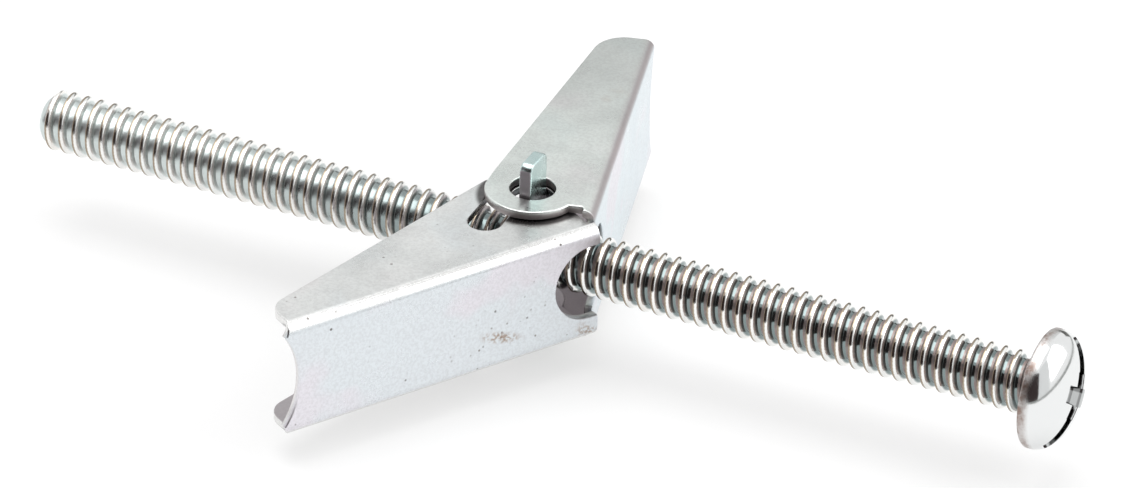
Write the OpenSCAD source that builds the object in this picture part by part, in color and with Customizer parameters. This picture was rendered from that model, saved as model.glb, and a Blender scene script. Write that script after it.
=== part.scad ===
// Spring toggle bolt: a round-headed machine screw with a sprung folding toggle.
// The screw lies along X with its head towards +X, and the toggle hinges about Z.
// Each wing is drawn in its own frame: +X square to its web, +Y from the hinge to the tip.

/* [Screw] */
// Length of the screw under its head
screw_length = 75.5; // [60:0.1:100]
// Distance from the underside of the head to the hinge of the toggle
toggle_setback = 38.15; // [20:0.05:45]
// Outside diameter of the thread
thread_d = 4.3; // [4.2:0.05:4.8]
// Distance between neighbouring thread crests
thread_pitch = 1.0583; // [0.9:0.0001:1.3]
// Height of a thread ridge above its groove
thread_depth = 0.5; // [0.45:0.01:0.65]
// Width of the flat on top of a thread ridge
crest_flat = 0.15; // [0.08:0.01:0.2]
// Width of a thread ridge where it meets the groove
ridge_base = 0.84; // [0.75:0.01:0.88]
// Length of the unthreaded neck under the head
neck_length = 1; // [1:0.05:3]
// Length over which the first threads are tapered at the tip
point_length = 0.8; // [0.8:0.1:3]
// Diameter of the end face at the tip
point_d = 2.7; // [2.4:0.1:3.2]

/* [Head] */
// Diameter of the head
head_d = 8.4; // [7.6:0.1:10]
// Height of the straight rim of the head
rim_height = 0.45; // [0.3:0.05:0.8]
// Height of the dome above the rim
dome_height = 2.3; // [1.6:0.1:3]
// Width of the driver slot
slot_width = 1; // [0.8:0.05:1.2]
// Depth of the driver slot below the crown
slot_depth = 1.5; // [1.1:0.05:1.6]
// Width of each arm of the cross recess
cross_width = 1.1; // [0.9:0.05:1.4]
// Length of the cross recess from end to end
cross_length = 3.4; // [2.8:0.1:3.8]
// Depth of the cross recess below the crown
cross_depth = 1.7; // [1.3:0.05:1.9]
// Turn of the driver slot from upright
slot_turn = 35; // [0:1:90]

/* [Wings] */
// Thickness of the sheet that the wings are folded from
sheet = 0.6; // [0.5:0.05:0.7]
// Radius inside the bend between web and flange
bend_inner_r = 0.3; // [0.2:0.05:0.5]
// Overall width of the outer wing over its flanges
outer_width = 10.2; // [10:0.02:11]
// Distance from the hinge to the outside of the web, outer wing
outer_reach = 4.75; // [4.6:0.05:5.2]
// Distance from the hinge to the outside of the web, inner wing
inner_reach = 5.8; // [5.5:0.05:6.2]
// Distance from the hinge to the tip, outer wing
outer_length = 21.9; // [18:0.1:26]
// Distance from the hinge to the tip, inner wing
inner_length = 23.5; // [18:0.1:28]
// Lean of the outer wing from square to the screw when open
outer_lean = 15.5; // [15:0.5:30]
// Lean of the inner wing from square to the screw when open
inner_lean = 31; // [30.5:0.5:40]
// How far the wings hang below the middle of the screw
wing_drop = 0.22; // [0.1:0.02:0.3]
// Depth of the flange at the tip, outer wing
outer_tip_depth = 3.5; // [2.5:0.1:4]
// Depth of the flange at the tip, inner wing
inner_tip_depth = 3.1; // [2.5:0.1:4]
// Distance that the back edge of the outer wing would pass behind the hinge
outer_back = 3.4; // [3.3:0.05:3.6]
// Distance that the back edge of the inner wing would pass behind the hinge
inner_back = 3.95; // [3.6:0.05:4]
// Radius of the round flange end about the hinge, outer wing
outer_lobe_r = 3.3; // [2.8:0.05:3.4]
// Radius of the round flange end about the hinge, inner wing
inner_lobe_r = 2.4; // [2.2:0.05:3]
// Distance that the web of the inner wing runs on past the hinge
inner_heel = 1.8; // [1.5:0.05:1.9]
// Distance that the flanges stop short of the end of the web at the hinge
heel_step = 0.45; // [0.2:0.05:0.8]
// Depth of the hollow in the end of the web at the tip
tip_hollow = 1.15; // [0.6:0.05:1.6]
// Distance that the flange stops short of the tip
tip_step = 0.5; // [0.2:0.05:1]
// Radius of the flange corner at the tip
tip_corner_r = 1.4; // [0.6:0.1:1.8]
// Gap around the screw in the notch of each web
notch_gap = 0.65; // [0.5:0.05:0.75]
// Distance that the round of the notch lies past the hinge
notch_setback = 1.05; // [0.8:0.05:1.3]
// Width of the oblong window in the flanges of the inner wing
window_width = 2.4; // [1.8:0.1:2.6]
// Turn of that window from the length of the wing
window_turn = 33; // [25:1:40]
// Distance of the window's centre line from the hinge
window_offset = 1.6; // [1.2:0.1:1.8]
// Distance from the hinge to the far end of the window, along the window
window_reach = 5.6; // [4.8:0.1:6]
// Sheet left between the hinge hole and the window
window_wall = 0.7; // [0.5:0.05:1]

/* [Nut and spring] */
// Thickness of the plate that the nut is stamped from
nut_plate = 0.9; // [0.7:0.05:1]
// Width of each ear that the wings hinge on
ear_width = 2.6; // [2.2:0.05:2.8]
// Distance that the ears stand out of the outer wing
ear_proud = 2.35; // [1.4:0.05:3]
// Width of the nut's plate across the screw
nut_width = 6; // [5.6:0.1:6.2]
// Length of the threaded collar behind the plate
collar_length = 1; // [0.6:0.1:2.4]
// Wall of the threaded collar
collar_wall = 0.5; // [0.4:0.02:0.6]
// Diameter of the spring wire
wire_d = 0.32; // [0.2:0.02:0.36]
// Distance along each wing to where the spring bears on the web
spring_reach = 8; // [6:0.5:9]

/* [Fits] */
// Gap around the screw's thread in the nut
thread_gap = 0.06; // [0.03:0.01:0.1]
// Gap around an ear's corners in the hole of the inner wing
hinge_gap = 0.07; // [0.04:0.01:0.1]
// Further room in the hole of the outer wing
outer_hole_room = 0.14; // [0:0.02:0.2]
// Gap between the flanges of the two wings
flange_gap = 0.08; // [0.05:0.01:0.15]
// Gap between the web of the outer wing and the inner wing when open
stop_gap = 0.1; // [0.05:0.01:0.3]
// Gap between the nut's upper shoulder and the inner wing
shoulder_gap = 0.1; // [0.05:0.01:0.2]
// Gap around the spring wire at its neighbours
wire_gap = 0.06; // [0.03:0.01:0.08]

/* [Hidden] */
$fn = 64;
over = 1; // how far cutters run past what they cut

thread_r = thread_d / 2;
groove_r = thread_r - thread_depth;
bend_r = bend_inner_r + sheet;
outer_half = outer_width / 2;
inner_half = outer_half - sheet - flange_gap;
ear_tip = outer_half - wing_drop + ear_proud;
ear_corner_r = norm([ear_width, nut_plate]) / 2;
inner_hole_r = ear_corner_r + hinge_gap;
outer_hole_r = inner_hole_r + outer_hole_room;
nut_bore_r = thread_r + thread_gap;
collar_r = nut_bore_r + collar_wall;
nut_top = inner_half - wing_drop - sheet - shoulder_gap;
head_height = rim_height + dome_height;

// The web of the outer wing runs on past the hinge until it meets the inner wing: the
// edge of its flange inside the bend, or its web, whichever comes first.
between = inner_lean + outer_lean;
flange_end = inner_heel - heel_step;
bend_reach = outer_reach - bend_r + sqrt(pow(bend_inner_r, 2) - pow(bend_inner_r - flange_gap, 2));
outer_heel = min(
    (bend_reach - stop_gap - flange_end * sin(between)) * tan(between) - flange_end * cos(between),
    (inner_reach - sheet - stop_gap - outer_reach * cos(between)) / sin(between)
);

// The origin is at the middle of the bottom of the part's box.
head_x = toggle_setback;
tip_x = head_x - screw_length;
hinge_x = -(head_x + head_height + tip_x) / 2;
inner_side = inner_length * cos(inner_lean) + inner_reach * sin(inner_lean);
outer_side = outer_length * cos(outer_lean) + outer_reach * sin(outer_lean);
hinge_y = (inner_side - outer_side) / 2;
hinge_z = ear_tip;

module at_hinge() {
    translate([hinge_x, hinge_y, hinge_z]) children();
}

// Places a wing's own frame at the hinge; side is 1 towards +Y and -1 towards -Y.
module wing_frame(side, lean) {
    at_hinge() translate([0, 0, -wing_drop]) scale_y(side) rotate([0, 0, lean]) children();
}

module scale_y(side) {
    if (side < 0) mirror([0, 1, 0]) children();
    else children();
}

// Points of an arc of radius r that rounds corner p between its neighbours a and b.
function corner(a, p, b, r, steps = 6) =
    let (
        da = (a - p) / norm(a - p),
        db = (b - p) / norm(b - p),
        half = acos(da * db) / 2,
        middle = p + (da + db) / norm(da + db) * r / sin(half),
        start = p + da * r / tan(half) - middle,
        turn = 180 - 2 * half,
        way = sign(da[0] * db[1] - da[1] * db[0])
    )
    [for (i = [0:steps]) let (t = -way * turn * i / steps)
        middle + [start[0] * cos(t) - start[1] * sin(t), start[0] * sin(t) + start[1] * cos(t)]];

// ---- Screw ----

// Radius of the taper at the tip, at distance x from the end.
function taper_r(x) = point_d / 2 + (thread_r - point_d / 2) * x / point_length;

// Half outline of the screw: radius and distance from the end of the tip.
thread_count = floor((screw_length - neck_length) / thread_pitch);
function ridge(i) =
    let (
        x = screw_length - neck_length - thread_pitch * (thread_count - i - 0.5),
        top = min(thread_r, taper_r(x)),
        lean = (ridge_base - crest_flat) / 2 * (top - groove_r) / thread_depth
    )
    [
        [groove_r, x - crest_flat / 2 - lean],
        [top, x - crest_flat / 2],
        [top, x + crest_flat / 2],
        [groove_r, x + crest_flat / 2 + lean]
    ];
dome_steps = 14;
screw_outline = concat(
    [[0, 0], [point_d / 2, 0], [groove_r, 0.3]],
    [for (i = [0:thread_count - 1]) each ridge(i)],
    [[groove_r, screw_length], [head_d / 2, screw_length]],
    [for (i = [0:dome_steps]) let (t = 90 * i / dome_steps)
        [head_d / 2 * cos(t), screw_length + rim_height + dome_height * sin(t)]]
);

module driver_recess() {
    translate([-slot_depth, -head_d / 2 - over, -slot_width / 2])
        cube([slot_depth + over, head_d + 2 * over, slot_width]);
    for (turn = [0, 90]) rotate([turn, 0, 0])
        translate([-cross_depth, -cross_length / 2, -cross_width / 2])
            cube([cross_depth + over, cross_length, cross_width]);
}

module screw() {
    color("silver") at_hinge() difference() {
        translate([tip_x, 0, 0]) rotate([0, 90, 0]) rotate_extrude() polygon(screw_outline);
        translate([head_x + head_height, 0, 0]) rotate([90 - slot_turn, 0, 0]) driver_recess();
    }
}

// ---- Trunnion nut ----

module ear_outline() {
    corner_a = [ear_width / 2, 0];
    top = [ear_width / 2, ear_tip];
    top_back = [-ear_width / 2, ear_tip];
    corner_b = [-ear_width / 2, 0];
    polygon(concat(
        [corner_b, corner_a],
        corner(corner_a, top, top_back, ear_width / 5),
        corner(top, top_back, corner_b, ear_width / 5)
    ));
}

// The plate lies square to the screw: X across the screw, Y up.
module nut_plate_outline() {
    translate([-nut_width / 2, -collar_r]) square([nut_width, collar_r + nut_top]);
    ear_outline();
    mirror([0, 1]) ear_outline();
}

module trunnion_nut() {
    color("lightgrey") at_hinge() difference() {
        union() {
            translate([-nut_plate / 2, 0, 0]) rotate([90, 0, 90])
                linear_extrude(nut_plate) nut_plate_outline();
            translate([-nut_plate / 2 - collar_length, 0, 0]) rotate([0, 90, 0])
                cylinder(r = collar_r, h = collar_length + nut_plate / 2);
        }
        translate([-nut_plate / 2 - collar_length - over, 0, 0]) rotate([0, 90, 0])
            cylinder(r = nut_bore_r, h = collar_length + nut_plate + 2 * over);
    }
}

// ---- Wings ----

// Section across a wing on its web side: X out to the web, Y along the hinge.
module channel_side(reach, half, r) {
    depth = reach + outer_back + inner_back;
    translate([reach - depth, -half]) square([depth - r, 2 * half]);
    translate([reach - depth, r - half]) square([depth, 2 * (half - r)]);
    for (side = [-1, 1]) translate([reach - r, side * (half - r)]) circle(r);
}

module channel(reach, half, from, to) {
    translate([0, to, 0]) rotate([90, 0, 0]) linear_extrude(to - from) difference() {
        channel_side(reach, half, bend_r);
        channel_side(reach - sheet, half - sheet, bend_inner_r);
    }
}

// Block with the outline of a wing seen along the hinge.
module wing_plan(reach, half, length, tip_depth, back, lobe_r, heel) {
    height = 2 * (half + over);
    tip = [reach - tip_depth, length - tip_step];
    back_slope = (tip[0] + back) / tip[1];
    back_end = [back_slope * lobe_r / 2 - back, lobe_r / 2];
    bend = [reach - bend_r, length - tip_step];
    translate([0, 0, -height / 2]) {
        cylinder(r = lobe_r, h = height);
        linear_extrude(height) polygon(concat(
            [[-lobe_r, 0], back_end],
            corner(back_end, tip, bend, tip_corner_r),
            [bend, [reach, length], [reach, -heel], [reach - bend_r, -heel]],
            [[reach - bend_r, heel_step - heel], [0, heel_step - heel]]
        ));
    }
}

// Cuts the notch that lets the web straddle the screw, level with the screw's middle.
module web_notch(reach, heel) {
    r = thread_r + notch_gap;
    depth = sheet + bend_r;
    translate([reach - depth, -notch_setback, wing_drop]) rotate([0, 90, 0])
        cylinder(r = r, h = depth + over);
    translate([reach - depth, -heel - over, wing_drop - r])
        cube([depth + over, heel + over - notch_setback, 2 * r]);
}

// Cuts the hollow that leaves two points at the end of the web.
module web_hollow(reach, length, half) {
    chord = half - bend_r;
    r = (pow(chord, 2) + pow(tip_hollow, 2)) / (2 * tip_hollow);
    translate([reach - bend_r, length - tip_hollow + r, 0]) rotate([0, 90, 0])
        cylinder(r = r, h = bend_r + over, $fn = 128);
}

module wing(reach, half, length, tip_depth, back, lobe_r, heel, hole_r) {
    difference() {
        intersection() {
            channel(reach, half, -lobe_r - over, length);
            wing_plan(reach, half, length, tip_depth, back, lobe_r, heel);
        }
        web_notch(reach, heel);
        web_hollow(reach, length, half);
        translate([0, 0, -half - over]) cylinder(r = hole_r, h = 2 * (half + over));
    }
}

// Oblong window through both flanges of the inner wing, clear of the hinge hole.
module flange_window() {
    r = window_width / 2;
    height = 2 * (inner_half + over);
    translate([0, 0, -height / 2]) difference() {
        rotate([0, 0, -window_turn]) translate([-window_offset, 0, 0]) {
            translate([-r, 0, 0]) cube([window_width, window_reach - r, height]);
            translate([0, window_reach - r, 0]) cylinder(r = r, h = height);
        }
        translate([0, 0, -over]) cylinder(r = inner_hole_r + window_wall, h = height + 2 * over);
    }
}

module inner_wing() {
    color("gainsboro") wing_frame(-1, inner_lean) difference() {
        wing(inner_reach, inner_half, inner_length, inner_tip_depth, inner_back, inner_lobe_r,
            inner_heel, inner_hole_r);
        flange_window();
    }
}

module outer_wing() {
    color("whitesmoke") wing_frame(1, outer_lean)
        wing(outer_reach, outer_half, outer_length, outer_tip_depth, outer_back, outer_lobe_r,
            outer_heel, outer_hole_r);
}

// ---- Torsion spring ----

// One turn of wire round the lower ear, with a leg along each wing to its web.
wire_r = wire_d / 2;
coil_r = ear_corner_r + wire_gap + wire_r;
upper_z = -collar_r - wire_gap - wire_r;
lower_z = upper_z - wire_d - wire_gap / 2;
coil_steps = 32;

// End of a leg, touching the inside of a web; side and lean are those of the wing.
function leg_end(side, lean, reach) =
    let (out = reach - sheet - wire_r - wire_gap)
    [out * cos(lean) - spring_reach * sin(lean),
     side * (out * sin(lean) + spring_reach * cos(lean))];

// Where a straight leg from point p meets the coil, as an angle; side as above.
function leg_angle(p, side) = atan2(p[1], p[0]) + side * acos(coil_r / norm(p));

inner_leg = leg_end(-1, inner_lean, inner_reach);
outer_leg = leg_end(1, outer_lean, outer_reach);
coil_start = leg_angle(inner_leg, -1);
coil_sweep = 360 - (leg_angle(outer_leg, 1) - coil_start);
spring_path = concat(
    [[inner_leg[0], inner_leg[1], upper_z]],
    [for (i = [0:coil_steps]) let (t = coil_start - coil_sweep * i / coil_steps)
        [coil_r * cos(t), coil_r * sin(t), upper_z + (lower_z - upper_z) * i / coil_steps]],
    [[outer_leg[0], outer_leg[1], lower_z]]
);

// A round wire through the points of a path that stays nearly level.
module wire(path, r, sides = 10) {
    last = len(path) - 1;
    rings = [for (i = [0:last])
        let (
            along = path[min(i + 1, last)] - path[max(i - 1, 0)],
            across = cross(along, [0, 0, 1]),
            side = across / norm(across),
            top = cross(side, along) / norm(along)
        )
        for (k = [0:sides - 1]) path[i] + r * (cos(360 * k / sides) * side + sin(360 * k / sides) * top)];
    walls = [for (i = [0:last - 1], k = [0:sides - 1])
        [i * sides + k, i * sides + (k + 1) % sides,
         (i + 1) * sides + (k + 1) % sides, (i + 1) * sides + k]];
    polyhedron(rings, concat(
        [[for (k = [sides - 1:-1:0]) k]], walls, [[for (k = [0:sides - 1]) last * sides + k]]
    ));
}

module torsion_spring() {
    color("dimgrey") at_hinge() wire(spring_path, wire_r);
}

screw();
trunnion_nut();
inner_wing();
outer_wing();
torsion_spring();
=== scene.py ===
"""Looks of a spring toggle bolt: plated screw, stamped nut, two folded wings and a wire spring.

Every piece is drawn in millimetres about the hinge of the toggle, with X along the screw towards
its head and Z along the hinge, and is then set in its place in the shared frame in metres.
"""

import logging
from collections.abc import Callable, Iterable
from dataclasses import dataclass, field
from enum import Enum
from math import acos, atan2, copysign, cos, degrees, hypot, pi, radians, sin, sqrt, tan

import bmesh
import bpy
from mathutils import Matrix, Vector


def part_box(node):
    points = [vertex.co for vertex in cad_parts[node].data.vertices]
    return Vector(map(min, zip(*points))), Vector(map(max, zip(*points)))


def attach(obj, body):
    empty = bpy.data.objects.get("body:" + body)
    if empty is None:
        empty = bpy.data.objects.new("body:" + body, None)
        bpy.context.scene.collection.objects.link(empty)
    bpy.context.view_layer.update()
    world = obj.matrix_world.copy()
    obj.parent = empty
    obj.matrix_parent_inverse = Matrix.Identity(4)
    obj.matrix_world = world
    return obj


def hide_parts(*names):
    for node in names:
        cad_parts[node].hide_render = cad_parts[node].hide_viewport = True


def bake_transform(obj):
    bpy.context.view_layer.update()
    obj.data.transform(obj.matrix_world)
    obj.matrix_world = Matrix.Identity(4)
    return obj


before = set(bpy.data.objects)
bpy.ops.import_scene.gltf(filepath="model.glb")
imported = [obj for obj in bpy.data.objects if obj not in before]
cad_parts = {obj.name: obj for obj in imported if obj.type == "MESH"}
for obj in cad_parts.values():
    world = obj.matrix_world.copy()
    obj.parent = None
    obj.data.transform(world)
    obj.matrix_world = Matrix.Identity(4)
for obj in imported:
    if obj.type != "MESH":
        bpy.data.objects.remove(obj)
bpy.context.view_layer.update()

MM = 0.001
log = logging.getLogger("toggle_bolt")

Triple = tuple[float, float, float]
Colour = Triple
Point = tuple[float, float]

ORIGIN = (0.0, 0.0, 0.0)
WHITE: Colour = (1.0, 1.0, 1.0)
MOTTLE: Colour = (0.3, 0.28, 0.28)
STAIN: Colour = (0.45, 0.3, 0.2)
PIT: Colour = (0.13, 0.11, 0.1)
SPECK: Colour = (0.16, 0.13, 0.11)
SMEAR: Colour = (0.36, 0.25, 0.18)
PINK: Colour = (0.82, 0.74, 0.8)
# Grey of the painted shade towards a wing's tip.
TIP_SHADE_GREY: Colour = (0.3, 0.3, 0.3)
# Near black of the painted shade in the screw's recess and the painted shadow where the wings
# lap.
PAINTED_SHADE_BLACK: Colour = (0.05, 0.045, 0.045)


class Slot(str, Enum):
    """Material slots of the record."""

    SCREW = "screw_steel"
    NUT = "nut_steel"
    WING = "wing_steel"
    SPRING = "spring_steel"


# ---- Shader expressions ----


def _operator(operation: str, reflected: bool = False) -> Callable[["Value", object], "Value"]:
    """Makes an arithmetic method of Value.

    Args:
        operation: The Math node's operation.
        reflected: Whether the value comes second.

    Returns:
        The method.
    """

    def method(self: "Value", other: object) -> "Value":
        """Adds the operation's node."""
        return self.math(operation, *((other, self) if reflected else (self, other)))

    return method


class Value:
    """A number that varies over a surface: a shader socket with arithmetic."""

    def __init__(self, sheet: "ShaderSheet", socket: bpy.types.NodeSocket) -> None:
        """Wraps a socket.

        Args:
            sheet: The sheet that the socket's node lies on.
            socket: The output socket.
        """
        self.sheet = sheet
        self.socket = socket

    __add__, __radd__ = _operator("ADD"), _operator("ADD", reflected=True)
    __sub__, __rsub__ = _operator("SUBTRACT"), _operator("SUBTRACT", reflected=True)
    __mul__, __rmul__ = _operator("MULTIPLY"), _operator("MULTIPLY", reflected=True)
    __truediv__ = _operator("DIVIDE")
    __pow__ = _operator("POWER")

    def math(self, operation: str, a: object, b: object = 0.0) -> "Value":
        """Adds one Math node.

        Args:
            operation: What it works out.
            a: The first operand.
            b: The second operand.

        Returns:
            The result.
        """
        return self.sheet.add("ShaderNodeMath", {"operation": operation}, {0: a, 1: b})

    def size(self) -> "Value":
        """The number without its sign."""
        return self.math("ABSOLUTE", self)

    def fraction(self) -> "Value":
        """What follows the decimal point."""
        return self.math("FRACT", self)

    def step(self, low: float, high: float) -> "Value":
        """Rises smoothly from 0 at low to 1 at high.

        Args:
            low: The value that gives 0.
            high: The value that gives 1; below low for a falling step.

        Returns:
            The stepped value.
        """
        return self.sheet.add(
            "ShaderNodeMapRange",
            {"interpolation_type": "SMOOTHSTEP"},
            {"Value": self, "From Min": low, "From Max": high},
        )


class ShaderSheet:
    """The node tree of one material or of the world."""

    def __init__(self, tree: bpy.types.NodeTree) -> None:
        """Clears a tree.

        Args:
            tree: The tree to draw on.
        """
        self.tree = tree
        tree.nodes.clear()

    def add(
        self,
        kind: str,
        settings: dict[str, object] | None = None,
        inputs: dict[int | str, object] | None = None,
        output: int | str = 0,
    ) -> Value:
        """Adds a node.

        Args:
            kind: The node's type.
            settings: Properties that are set first.
            inputs: Values or links for its sockets, by name or number.
            output: The output that is returned.

        Returns:
            The chosen output as a value.
        """
        node = self.tree.nodes.new(kind)
        for key, setting in (settings or {}).items():
            setattr(node, key, setting)
        for key, given in (inputs or {}).items():
            if isinstance(given, Value):
                self.tree.links.new(given.socket, node.inputs[key])
            else:
                node.inputs[key].default_value = given
        return Value(self, node.outputs[output] if node.outputs else None)

    def noise(self, at: Value, scale: float, detail: float = 2.0, rough: float = 0.5) -> Value:
        """Soft noise from 0 to 1.

        Args:
            at: The point in millimetres.
            scale: Blotches in a millimetre.
            detail: How many finer layers are added.
            rough: How strong the finer layers are.

        Returns:
            The noise value.
        """
        given = {"Vector": at, "Scale": scale, "Detail": detail, "Roughness": rough}
        return self.add("ShaderNodeTexNoise", {}, given)

    def split(self, vector: Value) -> tuple[Value, Value, Value]:
        """Takes a vector apart.

        Args:
            vector: The vector.

        Returns:
            Its X, Y and Z.
        """
        x = self.add("ShaderNodeSeparateXYZ", {}, {0: vector})
        outputs = x.socket.node.outputs
        return x, Value(self, outputs[1]), Value(self, outputs[2])

    @staticmethod
    def length(a: Value, b: Value) -> Value:
        """Length of a flat vector."""
        return (a * a + b * b) ** 0.5

    def blend(self, amount: Value | float, a: object, b: object) -> Value:
        """Mixes two colours.

        Args:
            amount: Share of b.
            a: The first colour, as a value or as red, green and blue.
            b: The second colour.

        Returns:
            The mixed colour.
        """
        sides = {
            key: side if isinstance(side, Value) else (*side, 1.0)
            for key, side in ((6, a), (7, b))
        }
        return self.add("ShaderNodeMix", {"data_type": "RGBA"}, {0: amount, **sides}, output=2)

    def glow(self, light: Colour, strength: Value | float = 1.0) -> Value:
        """Light that a surface gives off.

        Args:
            light: Its colour.
            strength: How bright it is.

        Returns:
            The shader.
        """
        given = {"Color": (*light, 1.0), "Strength": strength}
        return self.add("ShaderNodeEmission", {}, given)


def new_material(name: str) -> tuple[bpy.types.Material, ShaderSheet]:
    """Makes a material with an empty sheet.

    Args:
        name: The material's name.

    Returns:
        The material and its sheet.
    """
    material = bpy.data.materials.new(name)
    material.use_nodes = True
    return material, ShaderSheet(material.node_tree)


# ---- Finishes ----


@dataclass
class Skin:
    """A surface while its finish is put on.

    Attributes:
        sheet: The material's sheet.
        at: The point in millimetres.
        off: The point about the hinge, in millimetres.
        colour: The colour so far.
        rough: The roughness so far.
        height: The bump height so far.
    """

    sheet: ShaderSheet
    at: Value
    off: Value
    colour: Value
    rough: Value
    height: Value

    def tint(self, amount: Value | float, colour: object) -> None:
        """Mixes a colour in.

        Args:
            amount: The colour's share.
            colour: The colour.
        """
        self.colour = self.sheet.blend(amount, self.colour, colour)


@dataclass(frozen=True)
class ZincFinish:
    """Zinc plate on steel.

    Attributes:
        name: The material's name.
        colour: Colour of the clean plate.
        cool: Tint of the bluish blotches.
        warm: Tint of the yellowish or pink blotches.
        tint: How strong the tints are.
        shine: Lowest and highest roughness.
        cloud: Cloudy blotches in a millimetre.
        grain: Depth of the fine grain, in millimetres.
        streak: Length of the grain along X, Y and Z.
        mottle: How much fine blotches darken the colour.
        pits: Share of the surface with dark pits.
        stain: Strength of the brown stain.
    """

    name: str
    colour: Colour
    cool: Colour
    warm: Colour
    tint: float
    shine: tuple[float, float]
    cloud: float = 0.25
    grain: float = 0.002
    streak: Triple = (1.0, 1.0, 1.0)
    mottle: float = 0.0
    pits: float = 0.0
    stain: float = 0.0

    def material(self, place: "HingePlace") -> bpy.types.Material:
        """Makes the finish.

        Args:
            place: Where the hinge lies.

        Returns:
            The new material.
        """
        material, sheet = new_material(self.name)
        metres = sheet.add("ShaderNodeTexCoord", {}, {}, output="Object")
        scaled = {0: metres, "Scale": 1 / MM}
        at = sheet.add("ShaderNodeVectorMath", {"operation": "SCALE"}, scaled)
        along = sheet.add("ShaderNodeMapping", {}, {"Vector": at, "Scale": self.streak})
        cloud = sheet.noise(at, self.cloud, 5.0, 0.62)
        grain = sheet.noise(along, 5.0, 4.0, 0.65)
        drift = sheet.noise(at, self.cloud * 0.7, 2.0, 0.5)
        colour = self._plate_colour(sheet, at, cloud, drift)
        rough = self.shine[0] + (self.shine[1] - self.shine[0]) * cloud.step(0.3, 0.72)
        rough = rough + (grain - 0.5) * (0.25 * self.shine[1])
        middle = tuple(-c / MM for c in place.point)
        off = sheet.add("ShaderNodeVectorMath", {"operation": "ADD"}, {0: at, 1: middle})
        skin = Skin(sheet, at, off, colour, rough, grain)
        self._zone(skin)
        if self.mottle:
            dark = sheet.noise(at, 4.6, 4.0, 0.75).step(0.4, 0.62) * self.mottle
            skin.tint(dark, MOTTLE)
        if self.pits:
            self._pit(skin)
        relief = {"Strength": 1.0, "Distance": self.grain * MM, "Height": skin.height}
        bump = sheet.add("ShaderNodeBump", {}, relief)
        metal = {"Base Color": skin.colour, "Metallic": 1.0}
        metal |= {"Roughness": skin.rough, "Normal": bump}
        surface = sheet.add("ShaderNodeBsdfPrincipled", {}, metal)
        sheet.add("ShaderNodeOutputMaterial", {}, {"Surface": surface})
        return material

    def _plate_colour(self, sheet: ShaderSheet, at: Value, cloud: Value, drift: Value) -> Value:
        """Colour of the plate with its cool and warm blotches.

        Args:
            sheet: The material's sheet.
            at: The point in millimetres.
            cloud: The cloudy noise.
            drift: A slower noise that carries the tints.

        Returns:
            The colour.
        """
        colour = sheet.blend(drift.step(0.5, 0.72) * self.tint, self.colour, self.cool)
        colour = sheet.blend(drift.step(0.5, 0.3) * self.tint, colour, self.warm)
        dull = tuple(c * 0.86 for c in self.colour)
        colour = sheet.blend(cloud.step(0.62, 0.3) * 0.5, colour, dull)
        if self.stain:
            brown = sheet.noise(at, 0.22, 3.0, 0.6).step(0.63, 0.74) * self.stain
            colour = sheet.blend(brown, colour, STAIN)
        return colour

    def _zone(self, skin: Skin) -> None:
        """Changes the finish in the zones of its piece; a plain finish has none.

        Args:
            skin: The surface.
        """

    def _pit(self, skin: Skin) -> None:
        """Adds scattered dark pits.

        Args:
            skin: The surface.
        """
        distance = skin.sheet.add("ShaderNodeTexVoronoi", {}, {"Vector": skin.at, "Scale": 1.25})
        where = skin.sheet.noise(skin.at, 0.45, 1.0).step(0.6 - self.pits, 0.66 - self.pits)
        pit = distance.step(0.17, 0.08) * where
        skin.tint(pit * 0.8, PIT)
        skin.rough = skin.rough + pit * 0.3
        skin.height = skin.height - pit * 4.0


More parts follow.
